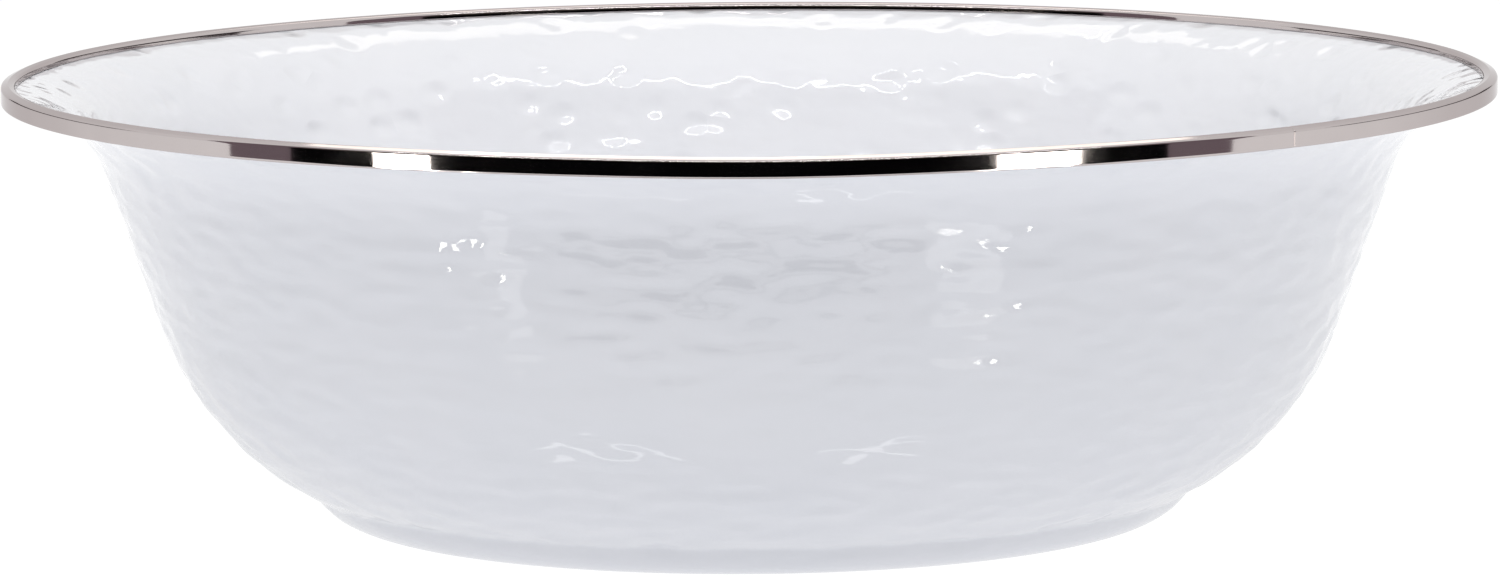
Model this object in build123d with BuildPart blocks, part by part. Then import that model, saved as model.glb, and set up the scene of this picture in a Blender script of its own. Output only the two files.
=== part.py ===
from build123d import *
from math import ceil, cos, degrees, radians, sin
import os

# Enamelled steel basin with a polished stainless trim band crimped round its lip.
# Millimetres, +Z up. The origin is on the table, in the middle of the foot.
# Sections are drawn as (distance from the axis, height) and turned about the Z axis.

# Overall size, over the trim band
rim_diameter = 300.0
bowl_height = 89.7

# Pressed sheet, and the glass fused on each side of it
sheet_thickness = 0.8
coat_thickness = 0.3

# Outside of the wall, from the lip down to the foot. Slopes are in degrees from the horizontal.
lip_width = 3.0
lip_slope = 11.0
flare_radius = 22.6
wall_slope = 71.0
belly_radius = 59.0
belly_end_slope = 27.0
foot_neck_radius = 3.0
foot_slope = 55.0
foot_corner_radius = 13.7

# Round stretches are turned as short flats, none longer than this on the outside
flat_length = 7.6

# Trim band: one strip bent to a C over the lip, its two ends butted at the front right
band_height = 4.0
band_width = 3.0
band_corner = 0.8
strip_thickness = 0.4
butt_gap = 0.2
butt_azimuth = -46.6

# Play between the band and the enamel: past the lip's edge, and at the crimped tips
edge_clearance = 0.3
crimp_clearance = 0.05

wall_thickness = sheet_thickness + 2 * coat_thickness
rim_radius = rim_diameter / 2
band_bottom = bowl_height - band_height
band_middle = bowl_height - band_height / 2


def heading(slope):
    """Direction of an outline that runs inwards and down at this slope."""
    return Vector(-cos(radians(slope)), -sin(radians(slope)))


def lip_point(depth, inset):
    """Point this deep into the lip from its underside, and this far inside its edge."""
    edge = Vector(rim_radius - strip_thickness - edge_clearance, band_middle)
    up_through_lip = Vector(-sin(radians(lip_slope)), cos(radians(lip_slope)))
    return edge + up_through_lip * (depth - wall_thickness / 2) + heading(lip_slope) * inset


# Bends of the outside from the lip down: radius, slope before and slope after.
# A radius below zero has its centre on the inside of the bowl.
flare = (flare_radius, lip_slope, wall_slope)
belly = (-belly_radius, wall_slope, belly_end_slope)
foot_neck = (foot_neck_radius, belly_end_slope, foot_slope)
foot_corner = (-foot_corner_radius, foot_slope, 0.0)


def bend_drop(radius, slope_before, slope_after):
    """Height that a bend takes up on the outside."""
    return radius * (cos(radians(slope_before)) - cos(radians(slope_after)))


def follow_bend(points, depth, radius, slope_before, slope_after):
    """Adds a bend to an outline that runs this deep below the outside."""
    turn = slope_after - slope_before
    flats = ceil(abs(radius * radians(turn)) / flat_length)
    flat_turn = turn / flats
    flat = 2 * abs(radius + depth) * sin(radians(abs(flat_turn)) / 2)
    for step in range(flats):
        points.append(points[-1] + heading(slope_before + (step + 0.5) * flat_turn) * flat)


# The straight wall takes up the height that the lip and the bends leave
bends_drop = sum(bend_drop(*bend) for bend in (flare, belly, foot_neck, foot_corner))
wall_length = (lip_point(0, lip_width).Y - bends_drop) / sin(radians(wall_slope))


def skin(depth, edge_inset=0.0):
    """Half outline this deep below the outside of the bowl, from the lip's edge to the axis."""
    points = [lip_point(depth, edge_inset), lip_point(depth, lip_width)]
    follow_bend(points, depth, *flare)
    points.append(points[-1] + heading(wall_slope) * wall_length)
    follow_bend(points, depth, *belly)
    follow_bend(points, depth, *foot_neck)
    follow_bend(points, depth, *foot_corner)
    points.append(Vector(0, points[-1].Y))
    return points


steel_under = coat_thickness
steel_over = coat_thickness + sheet_thickness

# Pressed steel shell, its edge set back so that the outside coat can close over it
with BuildPart() as steel_shell:
    with BuildSketch(Plane.XZ):
        with BuildLine():
            under_side = skin(steel_under, edge_inset=coat_thickness)
            upper_side = skin(steel_over, edge_inset=coat_thickness)
            Polyline(*under_side, *reversed(upper_side), close=True)
        make_face()
    revolve(axis=Axis.Z)

# Outside coat: under the foot, up the wall and round the cut edge of the sheet
with BuildPart() as enamel_outside:
    with BuildSketch(Plane.XZ):
        with BuildLine():
            outside = skin(0)
            against_steel = skin(steel_under, edge_inset=coat_thickness)
            edge_cap = [lip_point(steel_over, coat_thickness), lip_point(steel_over, 0)]
            Polyline(*outside, *reversed(against_steel), *edge_cap, close=True)
        make_face()
    revolve(axis=Axis.Z)

# Inside coat
with BuildPart() as enamel_inside:
    with BuildSketch(Plane.XZ):
        with BuildLine():
            against_steel = skin(steel_over)
            inside = skin(wall_thickness)
            Polyline(*against_steel, *reversed(inside), close=True)
        make_face()
    revolve(axis=Axis.Z)

# Trim band: a hollow section open at the lip, which its crimped tips hold from both sides
grip = band_width - strip_thickness - edge_clearance
upper_tip = lip_point(wall_thickness + crimp_clearance, grip)
lower_tip = lip_point(-crimp_clearance, grip)
butt_angle = degrees(butt_gap / rim_radius)
strip_start = radians(butt_azimuth + butt_angle / 2)
butt_plane = Plane(
    origin=(0, 0, 0),
    x_dir=(cos(strip_start), sin(strip_start), 0),
    z_dir=(sin(strip_start), -cos(strip_start), 0),
)
with BuildPart() as rim_band:
    with BuildSketch(butt_plane):
        with BuildLine():
            Polyline(
                upper_tip,
                (rim_radius - band_corner, bowl_height),
                (rim_radius, bowl_height - band_corner),
                (rim_radius, band_bottom + band_corner),
                (rim_radius - band_corner, band_bottom),
                lower_tip,
                close=True,
            )
        make_face()
        offset(amount=-strip_thickness, mode=Mode.SUBTRACT)
        with BuildLine():
            Polyline(
                lip_point(wall_thickness + crimp_clearance, 0),
                lip_point(wall_thickness + crimp_clearance, grip + strip_thickness),
                lip_point(-crimp_clearance, grip + strip_thickness),
                lip_point(-crimp_clearance, 0),
                close=True,
            )
        make_face(mode=Mode.SUBTRACT)
    revolve(axis=Axis.Z, revolution_arc=360 - butt_angle)

steel_shell.part.label = "steel_shell"
enamel_outside.part.label = "enamel_outside"
enamel_inside.part.label = "enamel_inside"
rim_band.part.label = "rim_band"

os.makedirs("parts", exist_ok=True)
for piece in (steel_shell, enamel_outside, enamel_inside, rim_band):
    export_step(piece.part, f"parts/{piece.part.label}.step")
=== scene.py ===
import bpy
import math
import numpy as np
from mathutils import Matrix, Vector, noise


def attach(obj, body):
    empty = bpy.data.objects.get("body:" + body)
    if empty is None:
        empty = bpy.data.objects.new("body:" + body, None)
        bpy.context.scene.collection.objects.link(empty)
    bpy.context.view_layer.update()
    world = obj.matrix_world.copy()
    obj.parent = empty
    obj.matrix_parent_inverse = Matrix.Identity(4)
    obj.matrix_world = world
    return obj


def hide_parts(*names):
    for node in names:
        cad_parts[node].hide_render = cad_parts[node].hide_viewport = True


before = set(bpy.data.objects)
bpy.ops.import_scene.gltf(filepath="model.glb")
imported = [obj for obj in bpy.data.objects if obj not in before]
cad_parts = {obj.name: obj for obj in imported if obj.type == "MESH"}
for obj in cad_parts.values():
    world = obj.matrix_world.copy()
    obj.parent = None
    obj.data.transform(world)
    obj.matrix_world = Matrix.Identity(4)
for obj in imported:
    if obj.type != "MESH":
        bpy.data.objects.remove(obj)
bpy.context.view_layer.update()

# Enamelled steel basin with a polished stainless trim band. Metres, +Z up.
mm = 0.001
scene = bpy.context.scene


def linearColour(hexValue):   # sRGB hex to linear RGBA
    parts = [int(hexValue[i:i + 2], 16) / 255 for i in (1, 3, 5)]
    return [c / 12.92 if c <= 0.04045 else ((c + 0.055) / 1.055) ** 2.4 for c in parts] + [1.0]


def addNode(tree, kind, settings=None, links=None):
    node = tree.nodes.new("ShaderNode" + kind)
    for key, value in (settings or {}).items():
        if isinstance(key, str) and hasattr(node, key):
            setattr(node, key, value)
        else:
            node.inputs[key].default_value = value
    for key, socket in (links or {}).items():
        tree.links.new(socket, node.inputs[key])
    return node


def newMaterial(name):
    material = bpy.data.materials.new(name)
    material.use_nodes = True
    material.node_tree.nodes.clear()
    return material, material.node_tree


# Outline of the bowl, the same sizes as the solids
bowl = {
    "lipEdge": (149.3 * mm, 87.7 * mm),   # middle of the sheet's edge, inside the band
    "wallThickness": 1.4 * mm,
    "coatThickness": 0.3 * mm,
    "lipWidth": 3.0 * mm,
    "lipSlope": 11.0,                     # slopes in degrees from the horizontal
    "wallLength": 33.271 * mm,
    # bends from the lip down: (radius in mm, slope before, slope after), a centre inside the bowl gives
    # a radius below zero
    "bends": [(22.6, 11.0, 71.0), (-59.0, 71.0, 27.0), (3.0, 27.0, 55.0), (-13.7, 55.0, 0.0)],
    "axisHole": 0.4 * mm,                 # radius of the small disc that closes a skin at the axis
}


def heading(slope):   # direction of an outline that runs inwards and down
    return np.array([-math.cos(math.radians(slope)), -math.sin(math.radians(slope))])


def bowlOutline(depth, spacing, floorSpacing):
    # rows of (radius, height, normal radius, normal height, length so far), normals point outwards
    slope = bowl["lipSlope"]
    across = np.array([-math.sin(math.radians(slope)), math.cos(math.radians(slope))])
    point = np.array(bowl["lipEdge"]) + across * (depth - bowl["wallThickness"] / 2)
    length = 0.0
    rows = []

    def addRow(slope):
        out = heading(slope)[::-1] * np.array([-1, 1])
        rows.append((point[0], point[1], out[0], out[1], length))

    def run(distance, slopeBefore, slopeAfter, step):
        nonlocal point, length
        count = max(1, math.ceil(distance / step))
        turn = (slopeAfter - slopeBefore) / count
        halfTurn = math.radians(abs(turn)) / 2
        chord = distance / count * (math.sin(halfTurn) / halfTurn if turn else 1)
        for i in range(count):
            point = point + heading(slopeBefore + turn * (i + 0.5)) * chord
            length += distance / count
            addRow(slopeBefore + turn * (i + 1))

    addRow(slope)
    run(bowl["lipWidth"], slope, slope, spacing)
    for i, (radius, before, after) in enumerate(bowl["bends"]):
        if i == 1:   # the straight wall lies between the flare and the belly
            run(bowl["wallLength"], before, before, spacing)
        run(abs(radius * mm + depth) * math.radians(abs(after - before)), before, after, spacing)
    run(point[0] - bowl["axisHole"], 0.0, 0.0, floorSpacing)
    return np.array(rows)


def smoothStep(low, high, value):
    t = np.clip((value - low) / (high - low), 0, 1)
    return t * t * (3 - 2 * t)


# The rim hangs a little low at the front, as a thin pressing does
rimSag = {
    "depth": 0.48 * mm,
    "middle": 4 * mm,               # right of the bowl's middle
    "halfWidth": 37 * mm,
    "heights": (55 * mm, 85 * mm),  # from no sag to the full one
    "fullAt": 100 * mm,             # in front of the axis
}


def sagged(points):
    front = smoothStep(0, rimSag["fullAt"], -points[:, 1])
    width = np.exp(-((points[:, 0] - rimSag["middle"]) / rimSag["halfWidth"]) ** 2)
    share = smoothStep(*rimSag["heights"], points[:, 2])
    return points - np.outer(rimSag["depth"] * front * width * share, [0, 0, 1])


def makeObject(name, verts, faces, material, node):
    mesh = bpy.data.meshes.new(name)
    mesh.from_pydata(sagged(verts).tolist(), [], faces)
    mesh.validate()
    mesh.shade_smooth()
    mesh.materials.append(material)
    piece = bpy.data.objects.new(name, mesh)
    scene.collection.objects.link(piece)
    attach(piece, "root")
    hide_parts(node)
    print(name, len(mesh.polygons), "faces")


def ringOfPoints(radius, height, columns):
    angles = np.arange(columns) * 2 * math.pi / columns
    return np.column_stack([radius * np.cos(angles), radius * np.sin(angles), np.full(columns, height)])


def joinRings(counts):
    # faces between rings that follow each other, one may have a whole multiple of the other's points
    starts = np.concatenate([[0], np.cumsum(counts)])
    faces = []
    for i, here in enumerate(counts):
        n = (i + 1) % len(counts)
        there = counts[n]
        steps = min(here, there)
        a, b = here // steps, there // steps
        for j in range(steps):
            near = [starts[i] + (j * a + k) % here for k in range(a + 1)]
            far = [starts[n] + (j * b + k) % there for k in range(b, -1, -1)]
            faces.append([int(v) for v in near + far])
    return faces


def closedShell(name, frontRings, backRings, flip, material, node):
    # two turned skins joined at the lip, each closed at the axis with a small disc
    rings = frontRings + backRings[::-1]
    counts = [len(ring) for ring in rings]
    starts = [int(s) for s in np.concatenate([[0], np.cumsum(counts)])]
    first, second, third = starts[len(frontRings) - 1:len(frontRings) + 2]
    faces = [f for f in joinRings(counts) if not (first <= min(f) < second <= max(f) < third)]
    faces.append(list(range(first, second)))
    faces.append(list(range(second, third))[::-1])
    if flip:
        faces = [f[::-1] for f in faces]
    makeObject(name, np.concatenate(rings), faces, material, node)


# Relief of the enamel that is in the mesh
relief = {
    "rowSpacing": 0.72 * mm,
    "floorSpacing": 4.0 * mm,
    "columns": {"wall": 520, "floor": 130, "back": 130},
    "backSpacing": (3.0 * mm, 12.0 * mm),      # on the wall, on the floor
    "overlap": 0.05 * mm,                      # a coat's hidden back reaches this far into the steel
    "ripples": {                               # (size, height) of each ripple
        "outside": [(16 * mm, 0.22 * mm), (7.0 * mm, 0.39 * mm)],
        "inside": [(17 * mm, 0.46 * mm), (7.0 * mm, 0.12 * mm)],
    },
    "seed": {"outside": 3.7, "inside": 11.2},
    "flatness": {"outside": 2.4, "inside": 1.5},   # ripples are this many times wider than high
    "sunk": 0.07 * mm,                         # the ripple lies this far below the outline on average
    "most": 0.27 * mm,                         # and leaves that by no more than this
    "lipFade": (0.8 * mm, 5.0 * mm),           # along the outline, from no ripple to the full one
    "footFade": (1.0 * mm, 9.0 * mm),          # by height, on the outside
    "floorSlope": 0.9999,                      # a skin whose normal is steeper than this is the floor
}


def noiseAt(points, size, seed):
    offset = Vector((seed, size / mm, -seed))
    return np.array([noise.noise(Vector(p) / size + offset) for p in points])


def rippleHeight(points, side):
    stretched = points * np.array([1, 1, relief["flatness"][side]])
    total = sum(height * noiseAt(stretched, size, relief["seed"][side])
                for size, height in relief["ripples"][side])
    return relief["most"] * np.tanh(total / relief["most"]) - relief["sunk"]


def enamelCoat(name, depth, backDepth, side, material, node):
    # a rippled front, and a plain back on the steel
    outwards = 1 if side == "outside" else -1
    frontRings = []
    rows = bowlOutline(depth, relief["rowSpacing"], relief["floorSpacing"])
    for radius, height, outR, outZ, length in rows:
        count = relief["columns"]["wall" if outZ > -relief["floorSlope"] else "floor"]
        ring = ringOfPoints(radius, height, count)
        fade = smoothStep(*relief["lipFade"], length)
        if side == "outside":
            fade *= smoothStep(*relief["footFade"], height)
        if fade > 0:
            lift = rippleHeight(ring, side) * fade * outwards
            ring += ringOfPoints(outR, outZ, count) * lift[:, None]
        frontRings.append(ring)
    backRings = [ringOfPoints(row[0], row[1], relief["columns"]["back"])
                 for row in bowlOutline(backDepth, *relief["backSpacing"])]
    closedShell(name, frontRings, backRings, side == "inside", material, node)


# White vitreous enamel, glass fused on steel by dipping and firing: a deep glossy white with soft ripples,
# which breaks the lamps up into bright flecks and drops
enamelLook = {
    "white": "#F2F2F5",
    "milkier": "#EEEFF3",       # where the glass pooled a little thicker
    "patchSize": 22.0,          # sizes and heights in mm
    "roughness": (0.02, 0.045),
    "smearSize": 9.0,
    "smearRange": (0.3, 0.7),   # part of the noise over which the roughness rises
    "ior": 1.52,
    # fine relief between the ripples of the mesh
    "outside": {"rippleSize": 4.6, "rippleHeight": 0.08},
    "inside": {"rippleSize": 5.0, "rippleHeight": 0.26},
    "dimples": {"spacing": 11.0, "radius": 4.6, "depth": 0.44},   # on the inside only
    "peelSize": 1.4,            # the orange peel of fired glass
    "peelHeight": 0.006,
}
noiseScale = 1 / mm   # divided by a pattern's size in mm, this gives the scale of its noise


def enamelMaterial(side):
    material, tree = newMaterial("white vitreous enamel, " + side)
    position = addNode(tree, "NewGeometry").outputs["Position"]
    stretched = addNode(tree, "VectorMath", {"operation": "MULTIPLY", 1: (1, 1, relief["flatness"][side])},
                        {0: position}).outputs[0]
    pools = addNode(tree, "TexNoise", {"Scale": noiseScale / enamelLook["patchSize"], "Detail": 2.0},
                    {"Vector": position})
    colour = addNode(tree, "Mix", {"data_type": "RGBA", 6: linearColour(enamelLook["white"]),
                                   7: linearColour(enamelLook["milkier"])}, {0: pools.outputs["Fac"]})
    smears = addNode(tree, "TexNoise", {"Scale": noiseScale / enamelLook["smearSize"], "Detail": 3.0},
                     {"Vector": position})
    glossy, duller = enamelLook["roughness"]
    low, high = enamelLook["smearRange"]
    rough = addNode(tree, "MapRange", {"To Min": glossy, "To Max": duller, "From Min": low, "From Max": high},
                    {"Value": smears.outputs["Fac"]})
    # ripples, peel and dimples add up to one height in mm
    ripples = addNode(tree, "TexNoise", {"Scale": noiseScale / enamelLook[side]["rippleSize"], "Detail": 0.5},
                      {"Vector": stretched})
    peel = addNode(tree, "TexNoise", {"Scale": noiseScale / enamelLook["peelSize"], "Detail": 1.0},
                   {"Vector": position})
    peelHeight = addNode(tree, "Math", {"operation": "MULTIPLY", 1: enamelLook["peelHeight"]},
                         {0: peel.outputs["Fac"]})
    height = addNode(tree, "Math", {"operation": "MULTIPLY_ADD", 1: enamelLook[side]["rippleHeight"]},
                     {0: ripples.outputs["Fac"], 2: peelHeight.outputs[0]})
    if side == "inside":
        dimples = enamelLook["dimples"]
        cells = addNode(tree, "TexVoronoi", {"Scale": noiseScale / dimples["spacing"]}, {"Vector": stretched})
        sunk = addNode(tree, "MapRange", {"interpolation_type": "SMOOTHSTEP", "From Min": 0.0,
                                          "From Max": dimples["radius"] / dimples["spacing"],
                                          "To Min": -dimples["depth"], "To Max": 0.0},
                       {"Value": cells.outputs["Distance"]})
        height = addNode(tree, "Math", {"operation": "ADD"},
                         {0: height.outputs[0], 1: sunk.outputs["Result"]})
    bump = addNode(tree, "Bump", {"Strength": 1.0, "Distance": mm}, {"Height": height.outputs[0]})
    shader = addNode(tree, "BsdfPrincipled", {"IOR": enamelLook["ior"]},
                     {"Base Color": colour.outputs[2], "Roughness": rough.outputs["Result"],
                      "Normal": bump.outputs["Normal"]})
    addNode(tree, "OutputMaterial", None, {"Surface": shader.outputs["BSDF"]})
    return material


thickness = bowl["wallThickness"]
backDepth = bowl["coatThickness"] + relief["overlap"]
enamelCoat("enamelOutside", 0.0, backDepth, "outside", enamelMaterial("outside"), "enamel_outside")
enamelCoat("enamelInside", thickness, thickness - backDepth, "inside", enamelMaterial("inside"),
           "enamel_inside")
print("enamel coats done")


# Trim band: a C of polished strip, crimped over the lip by hand
band = {
    "strip": 0.4 * mm,
    "corners": [                        # (radius, height, rounding) in mm, from the upper tip to the lower
        (147.0, 88.05, 0), (147.12, 89.35, 0.8), (148.45, 89.7, 0.35), (150.02, 89.08, 0.55),
        (150.02, 85.72, 0.28), (147.9, 85.7, 1.2), (147.05, 86.35, 0),
    ],
    "pointSpacing": 0.14 * mm,
    "straightSpacing": 1.6,             # times that on the straight parts
    "innerSkip": 4,                     # the hidden inside of the strip keeps one point in this many
    "columns": 720,
    "radius": 150 * mm,                 # of the rim
    "buttAzimuth": -46.6,               # degrees, where the two ends of the strip meet
    "buttGap": 0.04 * mm,
    "turnedIn": (0.03 * mm, 0.35 * mm), # each end turns in by this over this length
    "endColumns": (0.05 * mm, 0.12 * mm, 0.22 * mm, 0.4 * mm),   # extra columns this far from each end
    "wave": (38 * mm, 0.05 * mm),       # slow waviness of a hand-laid strip: (size, height)
    "tipWave": (17 * mm, 0.10 * mm),    # the crimped inner edge wanders more
    "tipSeed": (7, 3, 1),
    "tipCalm": 0.7,                     # share of the slow waviness that the crimp takes away
    "crimp": (149.9 * mm, 2.6 * mm),    # inwards from this radius the crimp comes in over this width
    "middle": (87.7 * mm, 2 * mm),      # height of the section's middle, and half its height
    "dents": [(-147.1, 0.06, 2.5), (-143.5, 0.04, 2.0), (-48.9, 0.02, 1.6)],   # (azimuth, depth, half width)
}


def roundedPath(corners, spacing):
    points = []
    for i, (x, y, rounding) in enumerate(corners):
        here = np.array([x, y]) * mm
        if not rounding:
            points.append(here)
            continue
        before = np.array(corners[i - 1][:2]) * mm - here
        after = np.array(corners[i + 1][:2]) * mm - here
        before, after = before / np.linalg.norm(before), after / np.linalg.norm(after)
        half = math.acos(np.clip(before @ after, -1, 1)) / 2
        radius = rounding * mm
        bisector = (before + after) / np.linalg.norm(before + after)
        centre = here + bisector * radius / math.sin(half)
        start = here + before * radius / math.tan(half) - centre
        end = here + after * radius / math.tan(half) - centre
        steps = max(3, math.ceil(radius * (math.pi - 2 * half) / spacing))
        startAngle, endAngle = math.atan2(start[1], start[0]), math.atan2(end[1], end[0])
        turn = (endAngle - startAngle + math.pi) % (2 * math.pi) - math.pi
        for step in range(steps + 1):
            angle = startAngle + turn * step / steps
            points.append(centre + radius * np.array([math.cos(angle), math.sin(angle)]))
    # even out the straight parts
    path = [points[0]]
    for p in points[1:]:
        origin = path[-1]
        parts = max(1, math.ceil(np.linalg.norm(p - origin) / (spacing * band["straightSpacing"])))
        path.extend(origin + (p - origin) * (k + 1) / parts for k in range(parts))
    return np.array(path)


def pathNormals(path):   # to the left of the direction of travel, which is out of the strip
    along = np.gradient(path, axis=0)
    along /= np.linalg.norm(along, axis=1)[:, None]
    return np.column_stack([-along[:, 1], along[:, 0]])


def dentAt(azimuth):   # depth of the dents at an azimuth in radians
    total = 0.0
    for dentAzimuth, depth, halfWidth in band["dents"]:
        away = (math.degrees(azimuth) - dentAzimuth + 180) % 360 - 180
        total += depth * mm * math.exp(-(math.radians(away) * band["radius"] / (halfWidth * mm)) ** 2)
    return total


def trimBand(material):
    skip = band["innerSkip"]
    outer = roundedPath(band["corners"], band["pointSpacing"])
    normals = pathNormals(outer)
    section = np.concatenate([outer, (outer - normals * band["strip"])[::-skip]])
    outDirection = np.concatenate([normals, normals[::-skip]])
    count = len(section)
    # 0 on the outer face and 1 at the crimped tips
    crimpRadius, crimpWidth = band["crimp"]
    tipShare = smoothStep(0, crimpWidth, crimpRadius - section[:, 0])
    # 1 along the top and -1 along the bottom
    middle, halfHeight = band["middle"]
    upper = np.clip((section[:, 1] - middle) / halfHeight, -1, 1)
    radius = band["radius"]
    gapAngle = band["buttGap"] / radius
    start = math.radians(band["buttAzimuth"]) + gapAngle / 2
    sweep = 2 * math.pi - gapAngle
    extra = np.array(band["endColumns"]) / radius
    even = np.linspace(0, sweep, band["columns"])[1:-1]
    angles = np.concatenate([[0], extra, even, sweep - extra[::-1], [sweep]])
    waveSize, waveHeight = band["wave"]
    tipSize, tipHeight = band["tipWave"]
    turnDepth, turnLength = band["turnedIn"]
    verts = []
    for angle in angles:
        azimuth = start + angle
        place = Vector((radius * math.cos(azimuth), radius * math.sin(azimuth), 0))
        slow = noise.noise(place / waveSize) * waveHeight
        crimp = noise.noise(place / tipSize + Vector(band["tipSeed"])) * tipHeight
        turnedIn = turnDepth * (1 - smoothStep(0, turnLength, min(angle, sweep - angle) * radius))
        outwards = slow * (1 - band["tipCalm"] * tipShare) - turnedIn - dentAt(azimuth) * (0.5 - 0.5 * upper)
        shift = outDirection * outwards[:, None]
        shift[:, 0] += crimp * tipShare * (upper > 0)
        verts.extend((r * math.cos(azimuth), r * math.sin(azimuth), z) for r, z in section + shift)
    faces = []
    for i in range(len(angles) - 1):
        for j in range(count):
            k = (j + 1) % count
            faces.append((i * count + j, (i + 1) * count + j, (i + 1) * count + k, i * count + k))
    last = (len(angles) - 1) * count
    faces.append(tuple(range(count)))
    faces.append(tuple(range(last, last + count))[::-1])
    makeObject("trimBand", np.array(verts), faces, material, "rim_band")


# Polished stainless strip, drawn and buffed: mirror bright, with faint lengthwise lines and a few wipe marks
steelLook = {
    "colour": "#C4BCBB",
    "smudge": "#BBB3B2",
    "edgeTint": "#D8D4D4",     # where the strip is seen edge on
    "roughness": (0.03, 0.08),
    "drawnLineSize": 0.12,     # mm across the strip, finer on a real one, drawn coarser to show
    "drawnLineDepth": 0.0008 * mm,
    "smudgeSize": 14.0,        # mm
    "smudgeRange": (0.35, 0.7),
}


def steelMaterial():
    material, tree = newMaterial("polished stainless strip")
    position = addNode(tree, "NewGeometry").outputs["Position"]
    smudges = addNode(tree, "TexNoise", {"Scale": noiseScale / steelLook["smudgeSize"], "Detail": 4.0},
                      {"Vector": position})
    colour = addNode(tree, "Mix", {"data_type": "RGBA", 6: linearColour(steelLook["colour"]),
                                   7: linearColour(steelLook["smudge"])}, {0: smudges.outputs["Fac"]})
    glossy, duller = steelLook["roughness"]
    low, high = steelLook["smudgeRange"]
    rough = addNode(tree, "MapRange", {"To Min": glossy, "To Max": duller, "From Min": low, "From Max": high},
                    {"Value": smudges.outputs["Fac"]})
    # lines run round the band, so the pattern only changes with height and distance from the axis
    parts = addNode(tree, "SeparateXYZ", None, {0: position})
    flat = addNode(tree, "CombineXYZ", None, {"X": parts.outputs["X"], "Y": parts.outputs["Y"]})
    distance = addNode(tree, "VectorMath", {"operation": "LENGTH"}, {0: flat.outputs[0]})
    across = addNode(tree, "CombineXYZ", None, {"X": distance.outputs["Value"], "Z": parts.outputs["Z"]})
    lines = addNode(tree, "TexNoise", {"Scale": noiseScale / steelLook["drawnLineSize"], "Detail": 2.0},
                    {"Vector": across.outputs[0]})
    bump = addNode(tree, "Bump", {"Strength": 1.0, "Distance": steelLook["drawnLineDepth"]},
                   {"Height": lines.outputs["Fac"]})
    shader = addNode(tree, "BsdfPrincipled",
                     {"Metallic": 1.0, "Specular Tint": linearColour(steelLook["edgeTint"])},
                     {"Base Color": colour.outputs[2], "Roughness": rough.outputs["Result"],
                      "Normal": bump.outputs["Normal"]})
    addNode(tree, "OutputMaterial", None, {"Surface": shader.outputs["BSDF"]})
    return material


trimBand(steelMaterial())
print("trim band done")


# Pressed mild steel between the coats, out of sight: a dull grey mill finish. The ripple can sink deeper
# than a coat is thick, so this sheet is a little thinner than the solid that it stands for
sheet = {
    "clearance": 0.02 * mm,    # from the back of each coat
    "spacing": (3.0 * mm, 12.0 * mm),
    "columns": 140,
    "colour": "#8E8E90",
    "darker": "#7C7C7F",
    "grainSize": 1.5,          # mm
    "roughness": 0.45,
}


def millSteelMaterial():
    material, tree = newMaterial("pressed mild steel")
    position = addNode(tree, "NewGeometry").outputs["Position"]
    grain = addNode(tree, "TexNoise", {"Scale": noiseScale / sheet["grainSize"], "Detail": 4.0},
                    {"Vector": position})
    colour = addNode(tree, "Mix", {"data_type": "RGBA", 6: linearColour(sheet["colour"]),
                                   7: linearColour(sheet["darker"])}, {0: grain.outputs["Fac"]})
    shader = addNode(tree, "BsdfPrincipled", {"Metallic": 1.0, "Roughness": sheet["roughness"]},
                     {"Base Color": colour.outputs[2]})
    addNode(tree, "OutputMaterial", None, {"Surface": shader.outputs["BSDF"]})
    return material


def sheetRings(depth):   # the sheet's edge is set back by one row, out of sight inside the band
    rows = bowlOutline(depth, *sheet["spacing"])[1:]
    return [ringOfPoints(row[0], row[1], sheet["columns"]) for row in rows]


sheetUnder = backDepth + sheet["clearance"]
closedShell("steelSheet", sheetRings(sheetUnder), sheetRings(thickness - sheetUnder), False,
            millSteelMaterial(), "steel_shell")
print("steel sheet done")


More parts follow.
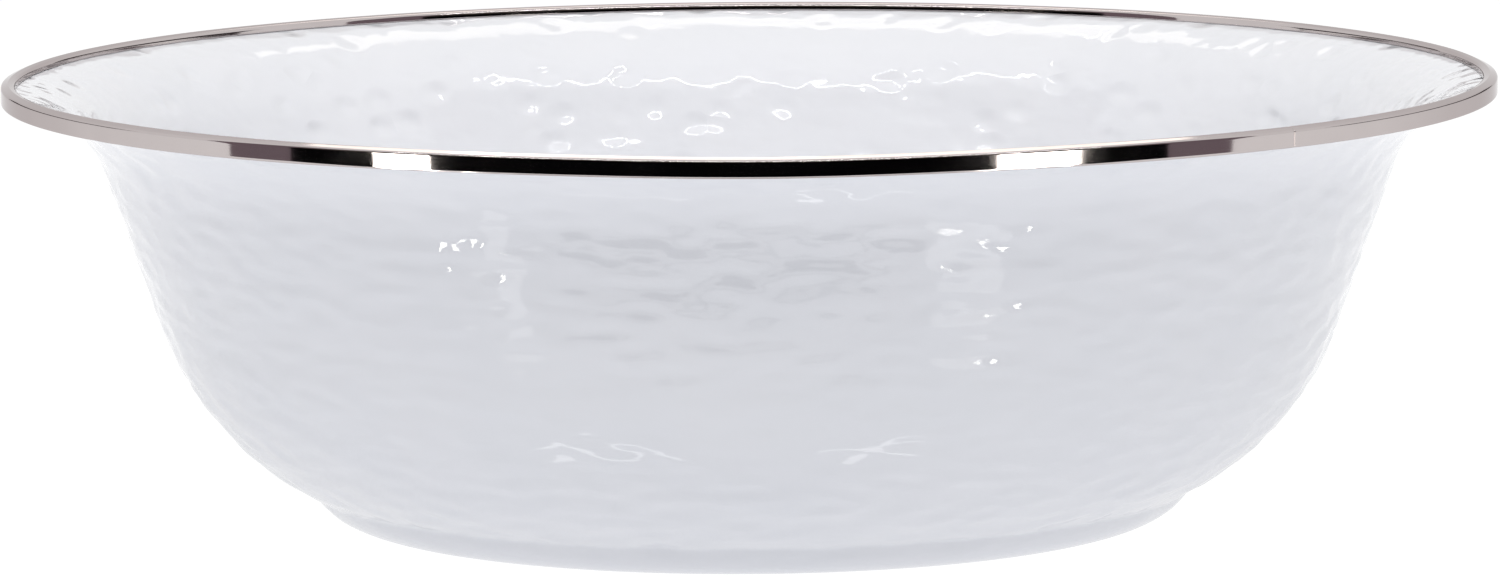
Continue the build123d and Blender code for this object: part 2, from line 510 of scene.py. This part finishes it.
# Studio: a white sweep lit from below, soft lamps, and panels that show in reflections only
studio = {
    "floorSize": 30.0,
    "floorDrop": 0.05 * mm,         # just under the foot, so that the two faces don't coincide
    "paper": "#F6F6F6",             # matt white paper
    "floorGlow": 0.80,              # share of its white that is its own glow
    "glowSeen": 1.17,               # strength of that glow in the picture and in mirrors
    "glowGiven": 1.045,             # and as light on the bowl
    "glowColour": "#F8FAFF",
    "paintedShadeNearBowl": (0.11, 0.26, 0.84),   # painted shade round the foot: between these two distances the glow rises from this share to full
    "worldLevel": 0.165,            # fill light on the object
    "worldColour": "#F8F9FC",
    "lamps": {                      # name: (place, target, size, watts)
        "frontTop": ((0, -0.95, 1.25), (0, 0.05, 0.05), (1.8, 0.5), 10.0),
        "high": ((0, -0.55, 1.4), (0, 0.05, 0.05), (1.2, 0.4), 7.8),
        "overhead": ((0, 0.25, 1.4), (0, 0.1, 0), (2.0, 2.0), 4.5),
        "lowLeft": ((-1.2, -0.3, 0.25), (0, 0, 0.05), (0.8, 0.4), 1.15),
        "lowRight": ((1.2, -0.3, 0.25), (0, 0, 0.05), (0.8, 0.4), 1.15),
    },
    "panelSteps": 40,
    # each panel: two edges of (radius, height, azimuth from, azimuth to), colour, strength
    "panels": {
        # the dim room in front
        "darkRoom": ((0.75, 0, -65.8, 59.2), (0.75, 0.22, -65.8, 59.2), "#050506", 1.0),
        "dimRoom": ((0.75, 0.22, -65.8, 59.2), (0.75, 0.76, -65.8, 59.2), "#5C5652", 1.0),
        "dimLeftLow": ((0.75, 0, -76.2, -65.8), (0.75, 0.12, -81.0, -65.8), "#7F7178", 1.0),
        "dimLeft": ((0.75, 0.12, -81.0, -65.8), (0.75, 0.76, -81.0, -65.8), "#7F7178", 1.0),
        "dimRightLow": ((0.75, 0, 59.2, 69.5), (0.75, 0.12, 59.2, 74.5), "#7F7178", 1.0),
        "dimRight": ((0.75, 0.12, 59.2, 74.5), (0.75, 0.76, 59.2, 74.5), "#7F7178", 1.0),
        "darkLeft": ((1.2, 0.12, -150, -106), (1.2, 0.28, -149, -100), "#3E3437", 1.0),
        "darkRight": ((1.2, 0.12, 96, 153), (1.2, 0.30, 92, 151), "#3E3437", 1.0),
        # the table in front, which draws the small dark ripples on the wall
        "darkTable": ((0.208, 0.001, -26, 22.5), (0.242, 0.001, -27, 24), "#141814", 1.0),
        "dimTable": ((0.186, 0.001, -20, 17), (0.1925, 0.001, -20, 17), "#858B85", 1.0),
        "farTable": ((0.50, 0.001, -52, 46), (0.75, 0.001, -65.8, 59.2), "#202020", 1.0),
        # two bright strips and their flecks on the wall
        "stripLeft": ((0.72, 0, -52.0, -43.7), (0.72, 0.13, -52.0, -43.7), "#FFFDF6", 12.0),
        "stripRight": ((0.72, 0, 33.5, 45.0), (0.72, 0.13, 33.5, 45.0), "#FFFDF6", 12.0),
        "stripLeftFoot": ((0.4, 0.002, -47, -40), (0.72, 0.002, -52.0, -43.7), "#FFFDF6", 12.0),
        "stripRightFoot": ((0.4, 0.002, 30, 40), (0.72, 0.002, 33.5, 45.0), "#FFFDF6", 12.0),
        "stripLeftPale": ((0.175, 0.002, -35, -29), (0.235, 0.002, -36, -30), "#FFFFFF", 2.1),
        "stripRightPale": ((0.175, 0.002, 24, 32), (0.235, 0.002, 25, 33), "#FFFFFF", 2.1),
        "sparkleA": ((0.216, 0.002, -41.5, -40.3), (0.34, 0.002, -43, -41.8), "#FFFDF6", 16.0),
        "sparkleB": ((0.216, 0.002, -37, -35.8), (0.34, 0.002, -38.5, -37.3), "#FFFDF6", 16.0),
        "sparkleC": ((0.216, 0.002, -32.5, -31.3), (0.34, 0.002, -34, -32.8), "#FFFDF6", 16.0),
        "sparkleD": ((0.216, 0.002, 26.5, 27.7), (0.34, 0.002, 27, 28.2), "#FFFDF6", 16.0),
        "sparkleE": ((0.216, 0.002, 31, 32.2), (0.34, 0.002, 32, 33.2), "#FFFDF6", 16.0),
        "sparkleF": ((0.216, 0.002, 35.5, 36.7), (0.34, 0.002, 37, 38.2), "#FFFDF6", 16.0),
        "footGlintLeft": ((0.121, 0.002, -26, -8), (0.1232, 0.002, -26, -8), "#FFFFFF", 3.0),
        "footGlintRight": ((0.121, 0.002, 7, 21), (0.1232, 0.002, 7, 21), "#FFFFFF", 3.0),
        # high tubes, which draw the broken white line and the drops on the inside
        "tube": ((0.75, 0.842, -48, 48), (0.75, 0.868, -48, 48), "#FFFFFF", 32.0),
        "tubeLeft": ((0.75, 0.97, 48, 69), (0.75, 1.0, 48, 69), "#FFFFFF", 22.0),
        "tubeRight": ((0.75, 1.02, -73, -48), (0.75, 1.05, -73, -48), "#FFFFFF", 22.0),
        "backTube": ((0.75, 1.0, 176, 200), (0.75, 1.04, 176, 200), "#FFFFFF", 7.0),
        # a bright ceiling behind, which draws the white line along the top of the band
        "ceiling": ((0.75, 1.3, 158, 202), (1.4, 1.3, 158, 202), "#FFFBF4", 2.4),
    },
}


def raysSeen(tree):   # 1 for what the camera or a mirror sees, 0 for light that falls on the bowl
    path = addNode(tree, "LightPath")
    either = addNode(tree, "Math", {"operation": "MAXIMUM"},
                     {0: path.outputs["Is Camera Ray"], 1: path.outputs["Is Glossy Ray"]})
    return addNode(tree, "Math", {"operation": "MAXIMUM"},
                   {0: either.outputs[0], 1: path.outputs["Is Transmission Ray"]}).outputs[0]


def makeWorld():
    world = bpy.data.worlds.new("studio")
    scene.world = world
    world.use_nodes = True
    tree = world.node_tree
    tree.nodes.clear()
    white = addNode(tree, "Background", {"Color": (1, 1, 1, 1), "Strength": 1.0})
    fill = addNode(tree, "Background", {"Color": linearColour(studio["worldColour"]),
                                        "Strength": studio["worldLevel"]})
    both = addNode(tree, "MixShader", None, {0: raysSeen(tree), 1: fill.outputs[0], 2: white.outputs[0]})
    addNode(tree, "OutputWorld", None, {"Surface": both.outputs[0]})


def stageMesh(name, verts, faces, material):
    mesh = bpy.data.meshes.new(name)
    mesh.from_pydata(verts, [], faces)
    mesh.materials.append(material)
    stage = bpy.data.objects.new(name, mesh)
    scene.collection.objects.link(stage)
    return stage


def makeFloor():
    material, tree = newMaterial("white sweep")
    paper = addNode(tree, "BsdfDiffuse", {"Color": linearColour(studio["paper"])})
    position = addNode(tree, "NewGeometry").outputs["Position"]
    distance = addNode(tree, "VectorMath", {"operation": "LENGTH"}, {0: position})
    # painted shadow: the glow is dimmed near the bowl to stand in for the bowl's shadow on the sweep
    near, far, share = studio["paintedShadeNearBowl"]
    level = addNode(tree, "MapRange", {"From Min": near, "From Max": far, "To Min": share},
                    {"Value": distance.outputs["Value"]}).outputs["Result"]
    # the picture shows the sweep evenly white; mirrors and the light given to the bowl get a painted shade
    # round the foot, the glow dimmed near the bowl
    shown = addNode(tree, "Math", {"operation": "MAXIMUM"},
                    {0: level, 1: addNode(tree, "LightPath").outputs["Is Camera Ray"]})
    given = addNode(tree, "Math", {"operation": "MULTIPLY", 1: studio["glowGiven"]}, {0: level})
    seen = addNode(tree, "Math", {"operation": "MULTIPLY", 1: studio["glowSeen"]}, {0: shown.outputs[0]})
    light = addNode(tree, "Emission", {"Color": linearColour(studio["glowColour"])},
                    {"Strength": given.outputs[0]})
    picture = addNode(tree, "Emission", {"Color": (1, 1, 1, 1)}, {"Strength": seen.outputs[0]})
    glow = addNode(tree, "MixShader", None, {0: raysSeen(tree), 1: light.outputs[0], 2: picture.outputs[0]})
    lit = addNode(tree, "MixShader", {0: studio["floorGlow"]}, {1: paper.outputs[0], 2: glow.outputs[0]})
    addNode(tree, "OutputMaterial", None, {"Surface": lit.outputs[0]})
    half, low = studio["floorSize"] / 2, -studio["floorDrop"]
    corners = [(-half, -half, low), (half, -half, low), (half, half, low), (-half, half, low)]
    stageMesh("floor", corners, [(0, 1, 2, 3)], material)


def polar(azimuth, radius, height):   # azimuth in degrees from the front, to the right
    a = math.radians(azimuth)
    return (radius * math.sin(a), -radius * math.cos(a), height)


def stagePanel(name, low, high, colour, strength):
    # a curved sheet between two edges: it gives the bowl no light and stays out of the picture
    material, tree = newMaterial(name)
    glow = addNode(tree, "Emission", {"Color": linearColour(colour), "Strength": strength})
    addNode(tree, "OutputMaterial", None, {"Surface": glow.outputs[0]})
    steps = studio["panelSteps"]
    verts = [polar(start + (end - start) * i / steps, radius, height)
             for i in range(steps + 1) for radius, height, start, end in (low, high)]
    faces = [(2 * i, 2 * i + 2, 2 * i + 3, 2 * i + 1) for i in range(steps)]
    panel = stageMesh(name, verts, faces, material)
    panel.visible_camera = False
    panel.visible_diffuse = False
    panel.visible_shadow = False
    panel.visible_transmission = False
    panel.visible_volume_scatter = False


def areaLight(name, place, target, size, watts):   # a soft white lamp that mirrors don't see
    lamp = bpy.data.lights.new(name, "AREA")
    lamp.shape = "RECTANGLE"
    lamp.size, lamp.size_y = size
    lamp.energy = watts
    holder = bpy.data.objects.new(name, lamp)
    scene.collection.objects.link(holder)
    holder.location = place
    holder.rotation_euler = (Vector(target) - Vector(place)).to_track_quat("-Z", "Y").to_euler()
    holder.visible_camera = False
    holder.visible_glossy = False


makeWorld()
makeFloor()
for name, panel in studio["panels"].items():
    stagePanel(name, *panel)
for name, lamp in studio["lamps"].items():
    areaLight(name, *lamp)
print("studio done")


# Camera: 1.8 m in front, a little above the rim, through a long lens
view = {
    "place": (0.0, -1.79031, 0.27428),
    "down": 0.12689,          # radians below the horizon
    "roll": -0.00759,
    "sensor": 36.0,           # mm
    "lens": 214.77,           # mm
    "shiftRight": 0.649 / 1500,
    "nearest": 0.05,
}

camera = bpy.data.objects.new("camera", bpy.data.cameras.new("camera"))
scene.collection.objects.link(camera)
camera.data.sensor_width = view["sensor"]
camera.data.lens = view["lens"]
camera.data.shift_x = -view["shiftRight"]
camera.data.clip_start = view["nearest"]
camera.location = view["place"]
camera.rotation_euler = (math.pi / 2 - view["down"], 0.0, 0.0)
camera.rotation_euler.rotate_axis("Z", view["roll"])
scene.camera = camera
scene.view_settings.view_transform = "Standard"
print("camera done")
